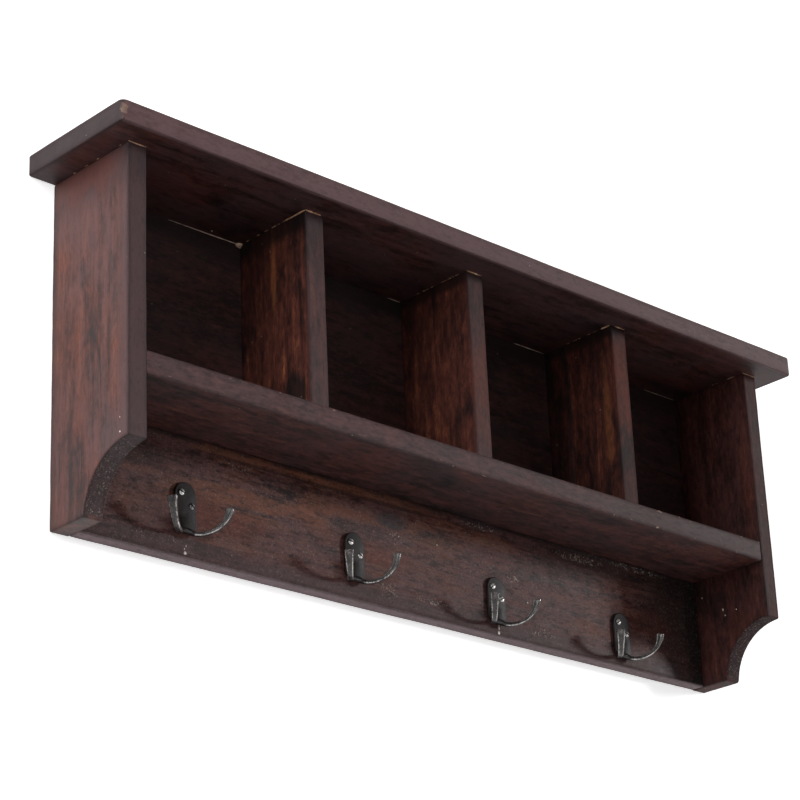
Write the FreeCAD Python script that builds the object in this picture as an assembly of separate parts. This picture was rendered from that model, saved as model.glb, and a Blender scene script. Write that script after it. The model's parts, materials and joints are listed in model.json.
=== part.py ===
import FreeCAD, Part
import math
import os

# Wall coat rack: an overhanging top, four open cubbies, and a rail of double hooks below them.
# Millimetres. +X runs to the right along the wall, +Z is up, and the wall is the plane y = 0,
# so the rack stands out from it towards -Y.
# The origin is on the wall, midway between the two keyholes that hang the rack.

Vector = FreeCAD.Vector

# Carcass boards
rack_width = 844.0              # over the outer faces of the side panels
side_thickness = 20.0
side_depth = 108.0
side_height = 326.0
top_thickness = 20.0
top_side_overhang = 28.0
top_front_overhang = 28.0
shelf_thickness = 21.0
rail_height = 114.0             # from the panels' feet up to the underside of the shelf
rail_thickness = 17.0
back_thickness = 11.0
lower_back_height = 122.0       # the lower of the two boards behind the cubbies
divider_thickness = 21.0
divider_setback = 3.0           # behind the front of the shelf
divider_rear_board_depth = 31.5  # the narrow board glued behind the right divider
divider_count = 3

# Scooped lower end of the side panels
nose_height = 54.5              # front corner above the foot
lip_depth = 47.0                # flat foot, measured from the wall
scoop_fill = 0.91               # share of the shorter run to the corner that the arc takes up
scoop_nose_slope = 5.0          # degrees below level, where the scoop leaves the nose
scoop_lip_slope = 80.0          # degrees below level, where it reaches the lip
nose_round = 2.0
lip_round = 2.0

# Eased edges
edge_ease = 1.5
top_corner_radius = 5.0
top_edge_ease = 1.5

# Dowels
dowel_radius = 4.0
dowel_length = 36.0
dowel_face_depth = 12.0         # the end that enters the face of a board
dowel_clearance = 0.1
dowel_end_room = 1.0
dowel_depth_shares = (0.28, 0.72)    # along the depth of a panel, shelf or divider
rail_dowel_shares = (0.25, 0.75)     # along the height of the rail

# Panel pins through the back boards
pin_radius = 0.8
pin_length = 26.0
pin_head_radius = 1.6
pin_head_thickness = 0.8
pin_point_length = 2.0
pin_clearance = 0.05
pin_height_shares = (0.2, 0.8)       # along a back board's height, clear of the dividers' dowels
shelf_pin_shares = (-0.42, -0.14, 0.14, 0.42)   # along the shelf, off the middle

# Double hooks
hook_place_shares = (-0.362, -0.114, 0.117, 0.342)   # along the rail, off the middle
hook_height_shares = (0.408, 0.372, 0.316, 0.294)    # middle of each plate, along the rail's height
plate_width = 24.0
plate_height = 45.0
plate_thickness = 3.5
plate_foot_radius = 6.0
plate_edge_radius = 1.0
prong_splay = 46.0              # degrees to each side of straight out
prong_root_spread = 5.0         # each prong's root, off the middle of the plate
prong_bend_radius = 20.0
prong_dip = 3.4                 # lowest point of the prong's middle line below the plate
prong_root_height = 2.6         # where the prong leaves the plate, above its lower edge
prong_tip_angle = 96.0          # degrees round from the lowest point
prong_root_radius = 2.4
prong_root_depth = 1.2          # how far behind the plate's face the bar begins
prong_waist_radius = 2.0
prong_tip_radius = 4.3
prong_tip_round = 0.8
prong_waist_share = 0.5         # along the prong
prong_stations = 10

# Slotted screws of the hooks
hook_screw_shares = ((-0.21, 0.77), (0.26, 0.52))    # across the plate, off its middle, and up it
hook_screw_radius = 1.75
hook_screw_length = 14.0        # below the head
hook_screw_point = 4.0
hook_screw_head_radius = 3.2
hook_screw_head_height = 1.6
hook_screw_slot_width = 1.0
hook_screw_slot_depth = 0.9
hook_screw_slot_turns = (20.0, 65.0)    # degrees
screw_clearance = 0.1

# Keyhole plates let into the back edges of the side panels
keyhole_drop = 50.0             # entry hole below the underside of the top
keyhole_entry_radius = 5.0
keyhole_slot_radius = 2.5
keyhole_slot_rise = 12.0
keyhole_plate_width = 15.0
keyhole_plate_length = 50.0
keyhole_plate_thickness = 2.0
keyhole_plate_rise = 5.0        # middle of the plate above the entry hole
keyhole_plate_clearance = 0.2
keyhole_pocket_radius = 6.0
keyhole_pocket_depth = 9.0
keyhole_screw_inset = 5.5       # from each end of the plate
keyhole_screw_radius = 1.5
keyhole_screw_head_radius = 2.8
keyhole_screw_length = 16.0
keyhole_screw_point = 4.0

overrun = 5.0                   # how far a cutting tool passes a face
match = 0.001                   # when two places count as the same

# Levels and faces that the pieces share
top_underside = keyhole_drop
foot = top_underside - side_height
shelf_underside = foot + rail_height
shelf_upper = shelf_underside + shelf_thickness
panel_outer = rack_width / 2
panel_inner = panel_outer - side_thickness
side_front = -side_depth
divider_front = side_front + divider_setback
back_face = -back_thickness
cubby_width = (2 * panel_inner - divider_count * divider_thickness) / (divider_count + 1)
divider_step = cubby_width + divider_thickness
first_divider = -panel_inner + cubby_width + divider_thickness / 2
divider_places = [first_divider + index * divider_step for index in range(divider_count)]


def slab(x_range, y_range, z_range):
    """A board between two places along each axis."""
    low = Vector(x_range[0], y_range[0], z_range[0])
    high = Vector(x_range[1], y_range[1], z_range[1])
    size = high - low
    return Part.makeBox(size.x, size.y, size.z, low)


def eased(shape, radius, chosen):
    """The shape with a round of this radius on the edges whose boxes pass the test."""
    edges = [edge for edge in shape.Edges if chosen(edge.BoundBox)]
    return shape.makeFillet(radius, edges)


def same(a, b):
    return abs(a - b) < match


def at_height(box, z):
    return same(box.ZMin, z) and same(box.ZMax, z)


def at_depth(box, y):
    return same(box.YMin, y) and same(box.YMax, y)


def at_side(box, x):
    return same(box.XMin, x) and same(box.XMax, x)


def extruded(outline, direction):
    """A closed outline of lines and arcs, carried straight along a direction."""
    wire = Part.Wire([piece.toShape() for piece in outline])
    return Part.Face(wire).extrude(direction)


def cut_all(shape, tools):
    return shape.cut(Part.makeCompound(tools))


# Dowels: each is a place on the joint's face and the direction into the end grain

def dowel(place, direction):
    start = place - direction * dowel_face_depth
    return Part.makeCylinder(dowel_radius, dowel_length, start, direction)


def dowel_hole(place, direction):
    start = place - direction * (dowel_face_depth + dowel_end_room)
    length = dowel_length + 2 * dowel_end_room
    return Part.makeCylinder(dowel_radius + dowel_clearance, length, start, direction)


def side_top_places():
    x = panel_outer - side_thickness / 2
    return [
        (Vector(side * x, share * side_front, top_underside), Vector(0, 0, -1))
        for side in (-1, 1)
        for share in dowel_depth_shares
    ]


def divider_dowel_depths(index):
    """Two places along the depth of a divider; the right divider has one in each of its two boards."""
    if index == len(divider_places) - 1:
        joint = back_face - divider_rear_board_depth
        return [(back_face + joint) / 2, (joint + divider_front) / 2]
    return [back_face + share * (divider_front - back_face) for share in dowel_depth_shares]


def divider_end_places(z, direction):
    return [
        (Vector(x, y, z), direction)
        for index, x in enumerate(divider_places)
        for y in divider_dowel_depths(index)
    ]


def shelf_end_places():
    z = shelf_underside + shelf_thickness / 2
    return [
        (Vector(side * panel_inner, back_face + share * (side_front - back_face), z), Vector(-side, 0, 0))
        for side in (-1, 1)
        for share in dowel_depth_shares
    ]


def rail_end_places():
    return [
        (Vector(side * panel_inner, -rail_thickness / 2, foot + share * rail_height), Vector(-side, 0, 0))
        for side in (-1, 1)
        for share in rail_dowel_shares
    ]


dowel_groups = {
    "side_top_dowels": side_top_places(),
    "divider_top_dowels": divider_end_places(top_underside, Vector(0, 0, -1)),
    "divider_foot_dowels": divider_end_places(shelf_upper, Vector(0, 0, 1)),
    "shelf_end_dowels": shelf_end_places(),
    "rail_end_dowels": rail_end_places(),
}


def dowel_holes(*names):
    return [dowel_hole(place, direction) for name in names for place, direction in dowel_groups[name]]


# Panel pins: driven forward from the back, heads flush with the wall side

def back_levels():
    joint = shelf_underside + lower_back_height
    return [(shelf_underside, joint), (joint, top_underside)]


def pin_places():
    """Two pins through each back board into each divider, and a row into the shelf's back edge."""
    (_, joint), _ = back_levels()
    dowel_reach = dowel_length - dowel_face_depth + dowel_end_room
    clear_heights = [(shelf_upper + dowel_reach, joint), (joint, top_underside - dowel_reach)]
    places = [
        Vector(x, 0, low + share * (high - low))
        for low, high in clear_heights
        for x in divider_places
        for share in pin_height_shares
    ]
    shelf_middle = shelf_underside + shelf_thickness / 2
    return places + [Vector(share * 2 * panel_inner, 0, shelf_middle) for share in shelf_pin_shares]


def pin_solid(place, extra):
    forward = Vector(0, -1, 0)
    head = Part.makeCylinder(pin_head_radius + extra, pin_head_thickness, place, forward)
    shank_length = pin_length - pin_point_length
    shank = Part.makeCylinder(pin_radius + extra, shank_length, place, forward)
    point_start = place + forward * shank_length
    point = Part.makeCone(pin_radius + extra, 0, pin_point_length, point_start, forward)
    return head.fuse([shank, point]).removeSplitter()


def pin_holes():
    return [pin_solid(place, pin_clearance) for place in pin_places()]


# Keyhole plates

def stadium(middle_low, middle_high, radius, y, depth):
    """A slot-shaped block: two round ends on a vertical line, cut forward from y."""
    x = middle_low.x
    low, high = middle_low.z, middle_high.z
    low_left, low_right = Vector(x - radius, y, low), Vector(x + radius, y, low)
    high_left, high_right = Vector(x - radius, y, high), Vector(x + radius, y, high)
    outline = [
        Part.LineSegment(low_right, high_right),
        Part.Arc(high_right, Vector(x, y, high + radius), high_left),
        Part.LineSegment(high_left, low_left),
        Part.Arc(low_left, Vector(x, y, low - radius), low_right),
    ]
    return extruded(outline, Vector(0, -depth, 0))


def keyhole_middle(side):
    return side * (panel_outer - side_thickness / 2)


def keyhole_plate_ends(side):
    x = keyhole_middle(side)
    reach = keyhole_plate_length / 2 - keyhole_plate_width / 2
    return Vector(x, 0, keyhole_plate_rise - reach), Vector(x, 0, keyhole_plate_rise + reach)


def keyhole_screw_places(side):
    x = keyhole_middle(side)
    reach = keyhole_plate_length / 2 - keyhole_screw_inset
    return [Vector(x, 0, keyhole_plate_rise + way * reach) for way in (-1, 1)]


def keyhole_screw(place, extra):
    """A flat-headed screw, flush with the plate."""
    forward = Vector(0, -1, 0)
    head_radius, radius = keyhole_screw_head_radius + extra, keyhole_screw_radius + extra
    head = Part.makeCone(head_radius, radius, head_radius - radius, place, forward)
    straight = keyhole_screw_length - keyhole_screw_point
    shank = Part.makeCylinder(radius, straight, place, forward)
    point = Part.makeCone(radius, 0, keyhole_screw_point, place + forward * straight, forward)
    return head.fuse([shank, point]).removeSplitter()


def keyhole_plate(side):
    low, high = keyhole_plate_ends(side)
    plate = stadium(low, high, keyhole_plate_width / 2, 0, keyhole_plate_thickness)
    entry = Vector(keyhole_middle(side), 0, 0)
    slot_end = entry + Vector(0, 0, keyhole_slot_rise)
    through = keyhole_plate_thickness + 2 * overrun
    tools = [
        Part.makeCylinder(keyhole_entry_radius, through, entry + Vector(0, overrun, 0), Vector(0, -1, 0)),
        stadium(entry, slot_end, keyhole_slot_radius, overrun, through),
    ]
    tools += [keyhole_screw(place, screw_clearance) for place in keyhole_screw_places(side)]
    return cut_all(plate, tools)


def keyhole_recess(side):
    """What is routed out of a panel's back edge: the plate's seat, and a pocket for the screw's head."""
    low, high = keyhole_plate_ends(side)
    seat_radius = keyhole_plate_width / 2 + keyhole_plate_clearance
    entry = Vector(keyhole_middle(side), 0, 0)
    slot_end = entry + Vector(0, 0, keyhole_slot_rise)
    pocket_depth = keyhole_plate_thickness + keyhole_pocket_depth
    tools = [
        stadium(low, high, seat_radius, overrun, keyhole_plate_thickness + overrun),
        stadium(entry, slot_end, keyhole_pocket_radius, overrun, pocket_depth + overrun),
    ]
    return tools + [keyhole_screw(place, screw_clearance) for place in keyhole_screw_places(side)]


# Boards

def top_board():
    half = panel_outer + top_side_overhang
    front = side_front - top_front_overhang
    upper = top_underside + top_thickness
    board = slab((-half, half), (front, 0), (top_underside, upper))
    board = eased(board, top_corner_radius, lambda box: at_depth(box, front) and box.ZLength > match)
    board = eased(
        board,
        top_edge_ease,
        lambda box: (at_height(box, upper) or at_height(box, top_underside)) and not at_depth(box, 0),
    )
    return cut_all(board, dowel_holes("side_top_dowels", "divider_top_dowels"))


def scoop_outline(x):
    """The scooped front of a panel: a slope off the nose, a tangent arc, and a steep run to the lip."""
    nose = Vector(x, side_front, foot + nose_height)
    lip = Vector(x, -lip_depth, foot)
    nose_slope, lip_slope = math.radians(scoop_nose_slope), math.radians(scoop_lip_slope)
    nose_way = Vector(0, math.cos(nose_slope), -math.sin(nose_slope))
    lip_way = Vector(0, -math.cos(lip_slope), math.sin(lip_slope))
    span = lip - nose
    turn = lip_slope - nose_slope
    nose_run = (span.z * lip_way.y - span.y * lip_way.z) / (nose_way.z * lip_way.y - nose_way.y * lip_way.z)
    corner = nose + nose_way * nose_run
    tangent = scoop_fill * min(nose_run, (corner - lip).Length)
    scoop_radius = tangent / math.tan(turn / 2)
    arc_start = corner - nose_way * tangent
    arc_end = corner - lip_way * tangent
    inward = -(nose_way + lip_way).normalize()
    arc_middle = corner + inward * (scoop_radius / math.cos(turn / 2) - scoop_radius)
    return [
        Part.LineSegment(nose, arc_start),
        Part.Arc(arc_start, arc_middle, arc_end),
        Part.LineSegment(arc_end, lip),
    ]


def side_panel(side):
    x = -panel_outer if side < 0 else panel_inner
    nose = Vector(x, side_front, foot + nose_height)
    lip = Vector(x, -lip_depth, foot)
    back_foot, back_top = Vector(x, 0, foot), Vector(x, 0, top_underside)
    front_top = Vector(x, side_front, top_underside)
    corners = [lip, back_foot, back_top, front_top, nose]
    straights = [Part.LineSegment(a, b) for a, b in zip(corners, corners[1:])]
    panel = extruded(scoop_outline(x) + straights, Vector(side_thickness, 0, 0))

    def across_at(box, corner):
        return at_depth(box, corner.y) and at_height(box, corner.z)

    panel = eased(panel, nose_round, lambda box: across_at(box, nose))
    panel = eased(panel, lip_round, lambda box: across_at(box, lip))
    panel = eased(
        panel,
        edge_ease,
        lambda box: (at_side(box, x) or at_side(box, x + side_thickness))
        and not at_depth(box, 0)
        and not at_height(box, top_underside),
    )
    holes = dowel_holes("side_top_dowels", "shelf_end_dowels", "rail_end_dowels")
    return cut_all(panel, holes + keyhole_recess(side))


def shelf_board():
    board = slab((-panel_inner, panel_inner), (side_front, back_face), (shelf_underside, shelf_upper))
    board = eased(board, edge_ease, lambda box: at_depth(box, side_front) and box.XLength > match)
    return cut_all(board, dowel_holes("shelf_end_dowels", "divider_foot_dowels") + pin_holes())


def divider_board(middle, rear, front):
    x_range = (middle - divider_thickness / 2, middle + divider_thickness / 2)
    board = slab(x_range, (front, rear), (shelf_upper, top_underside))
    if same(front, divider_front):
        board = eased(board, edge_ease, lambda box: at_depth(box, front) and box.ZLength > match)
    return cut_all(board, dowel_holes("divider_top_dowels", "divider_foot_dowels") + pin_holes())


def back_board(low, high):
    board = slab((-panel_inner, panel_inner), (back_face, 0), (low, high))
    return cut_all(board, pin_holes())


def hook_rail():
    rail = slab((-panel_inner, panel_inner), (-rail_thickness, 0), (foot, shelf_underside))
    rail = eased(rail, edge_ease, lambda box: at_depth(box, -rail_thickness) and at_height(box, foot))
    holes = dowel_holes("rail_end_dowels")
    for origin in hook_origins():
        holes += hook_screw_holes(origin)
    return cut_all(rail, holes)


# Hooks: an origin is the middle of a plate's lower edge, on the face of the rail

def hook_origins():
    return [
        Vector(along * 2 * panel_inner, -rail_thickness, foot + up * rail_height - plate_height / 2)
        for along, up in zip(hook_place_shares, hook_height_shares)
    ]


def hook_plate():
    """A plate with a half-round top and rounded lower corners."""
    half = plate_width / 2
    shoulder = plate_height - half
    plate = slab((-half, half), (-plate_thickness, 0), (0, shoulder))
    for side in (-half, half):
        plate = eased(plate, plate_foot_radius, lambda box: at_side(box, side) and at_height(box, 0))
    crown = Part.makeCylinder(half, plate_thickness, Vector(0, 0, shoulder), Vector(0, -1, 0))
    plate = plate.fuse(crown).removeSplitter()
    return eased(plate, plate_edge_radius, lambda box: at_depth(box, -plate_thickness))


def prong_radius(share):
    """Stout at the plate, slimmest part-way along, and flared at the tip."""
    if share < prong_waist_share:
        left = 1 - share / prong_waist_share
        return prong_waist_radius + (prong_root_radius - prong_waist_radius) * left ** 2
    past = (share - prong_waist_share) / (1 - prong_waist_share)
    return prong_waist_radius + (prong_tip_radius - prong_waist_radius) * past ** 2


def prong(side):
    """A round bar bent on one arc, in an upright plane turned to the side by the splay."""
    splay = math.radians(prong_splay)
    out = Vector(side * math.sin(splay), -math.cos(splay), 0)
    up = Vector(0, 0, 1)
    across = out.cross(up)
    middle_height = prong_bend_radius - prong_dip
    face_angle = -math.acos((middle_height - prong_root_height) / prong_bend_radius)
    bend_reach = -prong_bend_radius * math.sin(face_angle)
    root_angle = -math.asin((bend_reach + prong_root_depth) / prong_bend_radius)
    tip_angle = math.radians(prong_tip_angle)
    bend_middle = Vector(side * prong_root_spread, -plate_thickness, middle_height) + out * bend_reach
    rings = []
    for station in range(prong_stations):
        share = station / (prong_stations - 1)
        angle = root_angle + share * (tip_angle - root_angle)
        ring = Part.Circle()
        ring.Center = bend_middle + (out * math.sin(angle) - up * math.cos(angle)) * prong_bend_radius
        ring.Axis = out * math.cos(angle) + up * math.sin(angle)
        ring.XAxis = across
        ring.Radius = prong_radius(share)
        rings.append(Part.Wire(ring.toShape()))
    bar = Part.makeLoft(rings, True, False)
    tip_edge = max(bar.Edges, key=lambda edge: edge.BoundBox.Center.z if edge.isClosed() else -plate_height)
    return bar.makeFillet(prong_tip_round, [tip_edge])


def hook_screw_seats(origin):
    """Where each screw's head bears on a plate, with the turn of its slot."""
    front = origin + Vector(0, -plate_thickness, 0)
    return [
        (front + Vector(across * plate_width, 0, up * plate_height), turn)
        for (across, up), turn in zip(hook_screw_shares, hook_screw_slot_turns)
    ]


def hook_screw_shank(place, extra):
    inward = Vector(0, 1, 0)
    radius = hook_screw_radius + extra
    straight = hook_screw_length - hook_screw_point
    shank = Part.makeCylinder(radius, straight, place, inward)
    point = Part.makeCone(radius, 0, hook_screw_point, place + inward * straight, inward)
    return shank.fuse(point).removeSplitter()


def hook_screw_holes(origin):
    return [hook_screw_shank(place, screw_clearance) for place, _ in hook_screw_seats(origin)]


def hook_screw(place, turn):
    """A round-headed slotted screw, with its head towards the room."""
    inward = Vector(0, 1, 0)
    ball_radius = (hook_screw_head_radius ** 2 + hook_screw_head_height ** 2) / (2 * hook_screw_head_height)
    ball = Part.makeSphere(ball_radius, place + inward * (ball_radius - hook_screw_head_height))
    head = ball.common(Part.makeCylinder(2 * ball_radius, 2 * ball_radius, place, -inward))
    slot = Part.makeBox(
        2 * (hook_screw_head_radius + overrun),
        hook_screw_slot_depth + overrun,
        hook_screw_slot_width,
        place
        - inward * (hook_screw_head_height + overrun)
        - Vector(hook_screw_head_radius + overrun, 0, hook_screw_slot_width / 2),
    )
    slot.rotate(place, inward, turn)
    return head.cut(slot).fuse(hook_screw_shank(place, 0)).removeSplitter()


def coat_hook(origin):
    casting = hook_plate().fuse([prong(-1), prong(1)])
    casting.translate(origin)
    return cut_all(casting, hook_screw_holes(origin))


# The finished pieces, by the name of each

def rack_pieces():
    rear_joint = back_face - divider_rear_board_depth
    (lower_low, lower_high), (upper_low, upper_high) = back_levels()
    left_middle, centre_middle, right_middle = divider_places
    pieces = {
        "top_board": top_board(),
        "left_side_panel": side_panel(-1),
        "right_side_panel": side_panel(1),
        "shelf_board": shelf_board(),
        "left_divider": divider_board(left_middle, back_face, divider_front),
        "middle_divider": divider_board(centre_middle, back_face, divider_front),
        "right_divider_rear_board": divider_board(right_middle, back_face, rear_joint),
        "right_divider_front_board": divider_board(right_middle, rear_joint, divider_front),
        "lower_back_board": back_board(lower_low, lower_high),
        "upper_back_board": back_board(upper_low, upper_high),
        "hook_rail": hook_rail(),
    }
    for number, origin in enumerate(hook_origins(), start=1):
        pieces[f"coat_hook_{number}"] = coat_hook(origin)
    seats = [seat for origin in hook_origins() for seat in hook_screw_seats(origin)]
    pieces["hook_screws"] = Part.makeCompound([hook_screw(place, turn) for place, turn in seats])
    pieces["left_keyhole_plate"] = keyhole_plate(-1)
    pieces["right_keyhole_plate"] = keyhole_plate(1)
    plate_screws = [keyhole_screw(place, 0) for side in (-1, 1) for place in keyhole_screw_places(side)]
    pieces["keyhole_plate_screws"] = Part.makeCompound(plate_screws)
    for name, places in dowel_groups.items():
        pieces[name] = Part.makeCompound([dowel(place, direction) for place, direction in places])
    pieces["back_board_pins"] = Part.makeCompound([pin_solid(place, 0) for place in pin_places()])
    return pieces


os.makedirs("parts", exist_ok=True)
for piece_name, piece in rack_pieces().items():
    piece.exportStep(f"parts/{piece_name}.step")
    print(piece_name, len(piece.Solids), "solids", round(piece.Volume), "mm3", "valid", piece.isValid())
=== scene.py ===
import json
import math

import bmesh
import bpy
import numpy as np
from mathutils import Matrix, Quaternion, Vector

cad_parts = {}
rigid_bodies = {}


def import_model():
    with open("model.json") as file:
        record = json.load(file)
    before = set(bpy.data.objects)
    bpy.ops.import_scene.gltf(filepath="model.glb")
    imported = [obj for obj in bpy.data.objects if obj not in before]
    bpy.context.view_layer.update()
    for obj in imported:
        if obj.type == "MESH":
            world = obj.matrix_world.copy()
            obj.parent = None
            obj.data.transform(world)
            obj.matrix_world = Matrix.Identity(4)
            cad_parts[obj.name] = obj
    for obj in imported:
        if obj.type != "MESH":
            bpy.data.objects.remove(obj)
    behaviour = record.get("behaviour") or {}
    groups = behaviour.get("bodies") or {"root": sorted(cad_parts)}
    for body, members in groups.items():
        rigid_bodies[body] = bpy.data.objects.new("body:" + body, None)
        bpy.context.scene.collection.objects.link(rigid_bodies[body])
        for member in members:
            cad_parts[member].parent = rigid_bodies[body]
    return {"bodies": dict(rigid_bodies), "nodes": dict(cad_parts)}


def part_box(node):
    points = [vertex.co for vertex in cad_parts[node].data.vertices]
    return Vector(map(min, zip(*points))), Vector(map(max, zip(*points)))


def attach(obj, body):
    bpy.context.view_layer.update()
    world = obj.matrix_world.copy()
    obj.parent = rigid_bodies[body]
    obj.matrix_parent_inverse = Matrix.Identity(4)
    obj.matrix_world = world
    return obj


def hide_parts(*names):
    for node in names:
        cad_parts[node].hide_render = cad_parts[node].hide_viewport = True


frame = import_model()

mm = 0.001  # every length is in metres
fullTurn = 2 * np.pi
axisX, axisY, axisZ = 0, 1, 2

# the frame is all that is kept of what the session opened with
for thing in list(bpy.data.objects):
    if thing not in frame["nodes"].values() and thing not in frame["bodies"].values():
        bpy.data.objects.remove(thing)
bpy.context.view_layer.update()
print("frame loaded,", len(frame["nodes"]), "nodes")


# Shader helpers

class Wire:
    # one output socket: arithmetic on it adds Math nodes to its tree

    def __init__(self, finish, socket):
        self.finish = finish
        self.socket = socket

    def math(self, operation, first, second):
        return self.finish.node("ShaderNodeMath", {"operation": operation}, {0: first, 1: second})

    def __add__(self, other):
        return self.math("ADD", self, other)

    __radd__ = __add__

    def __sub__(self, other):
        return self.math("SUBTRACT", self, other)

    def __rsub__(self, other):
        return self.math("SUBTRACT", other, self)

    def __mul__(self, other):
        return self.math("MULTIPLY", self, other)

    __rmul__ = __mul__

    def atLeast(self, other):
        return self.math("MAXIMUM", self, other)

    def over(self, level):
        return self.math("GREATER_THAN", self, level)

    def swing(self):
        # how far a noise is above or below its middle
        return self - 0.5

    def ease(self, start, end):
        # a smooth step: 0 at start, 1 at end
        return self.finish.node(
            "ShaderNodeMapRange", {"interpolation_type": "SMOOTHSTEP"},
            {"Value": self, "From Min": start, "From Max": end})

    def beside(self, name):
        # another output of the same node
        return Wire(self.finish, self.socket.node.outputs[name])


class Finish:
    # one material: node() adds any node, with its settings first and then its sockets
    shiftShares = (1, 0.7, 1.3)

    def __init__(self, name, tree=None):
        self.material = None
        if tree is None:
            self.material = bpy.data.materials.new(name)
            self.material.use_nodes = True
            tree = self.material.node_tree
        self.tree = tree
        self.tree.nodes.clear()

    def node(self, kind, settings=None, values=None, out=0):
        made = self.tree.nodes.new(kind)
        for key, value in (settings or {}).items():
            if key == "stops":
                self.setStops(made.color_ramp, value)
            else:
                setattr(made, key, value)
        for key, value in (values or {}).items():
            if isinstance(value, Wire):
                self.tree.links.new(value.socket, made.inputs[key])
            else:
                made.inputs[key].default_value = value
        if made.outputs:
            return Wire(self, made.outputs[out])
        return made

    def setStops(self, ramp, stops):
        while len(ramp.elements) < len(stops):
            ramp.elements.new(0.5)
        for element, (place, colour) in zip(ramp.elements, stops):
            element.position = place
            element.color = (*colour, 1)

    def place(self):
        return self.node("ShaderNodeTexCoord", out="Object")

    def mark(self, name):
        # a point attribute that the piece carries
        return self.node("ShaderNodeAttribute", {"attribute_name": name}, out="Fac")

    def blend(self, share, first, second):
        # a colour mix: first where share is 0, second where it is 1
        first = first if isinstance(first, Wire) else (*first, 1)
        second = second if isinstance(second, Wire) else (*second, 1)
        return self.node("ShaderNodeMix", {"data_type": "RGBA"}, {0: share, 6: first, 7: second}, out=2)

    def noise(self, scale, detail=2, twist=0, shift=0, rough=0.55):
        # noise on object coordinates, scale in turns per metre, one number or one for each axis
        scale = [scale] * 3 if isinstance(scale, int) else scale
        offset = [shift * share for share in self.shiftShares]
        spread = self.node("ShaderNodeMapping", None, {
            "Vector": self.place(), "Location": offset, "Scale": scale})
        return self.node("ShaderNodeTexNoise", None, {
            "Vector": spread, "Scale": 1, "Detail": detail, "Roughness": rough, "Distortion": twist})

    def surface(self, values, bumps, depth, strength):
        # a Principled surface with a bump from a height
        values["Normal"] = self.node("ShaderNodeBump", None, {
            "Height": bumps, "Distance": depth, "Strength": strength})
        shader = self.node("ShaderNodeBsdfPrincipled", None, values)
        self.node("ShaderNodeOutputMaterial", None, {"Surface": shader})
        return self.material


# Mesh helpers

def unit(vectors):
    return vectors / np.maximum(np.linalg.norm(vectors, axis=-1, keepdims=True), 1e-12)


def aroundRing(count):
    # angles of the points round a closed ring
    return np.linspace(0, fullTurn, count, endpoint=False)


def ripple(shares, seed, waves):
    # a sum of sine waves of falling height that closes on itself, brought to 0..1
    lowest, fall = 0.4, 0.6
    dice = np.random.default_rng(seed)
    count = np.arange(1, waves + 1)[:, None]
    height = dice.uniform(lowest, 1, (waves, 1)) / count ** fall
    start = dice.uniform(0, fullTurn, (waves, 1))
    total = (height * np.sin(fullTurn * count * shares + start)).sum(0)
    return (total - total.min()) / (total.max() - total.min())


def lengthShares(outline):
    # how far along the closed outline each point is, from 0 to 1
    steps = np.linalg.norm(np.roll(outline, -1, 0) - outline, axis=1)
    return np.concatenate([[0], np.cumsum(steps)[:-1]]) / steps.sum()


def middleAndHalf(outline):
    # middle and half size of an outline's box
    low, high = outline.min(0), outline.max(0)
    return (low + high) / 2, (high - low) / 2


def settle(piece):
    # the piece's modifiers become part of its mesh
    graph = bpy.context.evaluated_depsgraph_get()
    piece.data = bpy.data.meshes.new_from_object(piece.evaluated_get(graph))
    piece.modifiers.clear()


def makePiece(name, surfaces, material, nodes=(), sharp=None):
    # each surface is a grid of points, rings by points round, closed round each ring
    mergeGap = 1e-6
    spots, quads, marks, first = [], [], {}, 0
    for points, values in surfaces:
        rings, around = points.shape[:2]
        index = first + np.arange(rings * around).reshape(rings, around)
        beside = np.roll(index, -1, 1)
        quads.append(np.stack([index[:-1], beside[:-1], beside[1:], index[1:]], -1).reshape(-1, 4))
        spots.append(points.reshape(-1, 3))
        for key, value in values.items():
            marks.setdefault(key, []).append(np.broadcast_to(value, (rings, around)).reshape(-1))
        first += rings * around
    mesh = bpy.data.meshes.new(name)
    mesh.from_pydata(np.concatenate(spots).tolist(), [], np.concatenate(quads).tolist())
    for key, value in marks.items():
        layer = mesh.attributes.new(key, "FLOAT", "POINT")
        layer.data.foreach_set("value", np.concatenate(value).astype(np.float32))
    shell = bmesh.new()
    shell.from_mesh(mesh)
    bmesh.ops.remove_doubles(shell, verts=shell.verts, dist=mergeGap)
    bmesh.ops.dissolve_degenerate(shell, edges=shell.edges, dist=mergeGap)
    bmesh.ops.recalc_face_normals(shell, faces=shell.faces)
    shell.to_mesh(mesh)
    shell.free()
    mesh.polygons.foreach_set("use_smooth", np.ones(len(mesh.polygons), bool))
    if sharp is not None:
        mesh.set_sharp_from_angle(angle=math.radians(sharp))
    piece = bpy.data.objects.new(name, mesh)
    bpy.context.scene.collection.objects.link(piece)
    mesh.materials.append(material)
    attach(piece, "root")
    if nodes:
        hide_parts(*nodes)
    print("made", name, len(mesh.polygons), "faces")
    return piece


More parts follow.
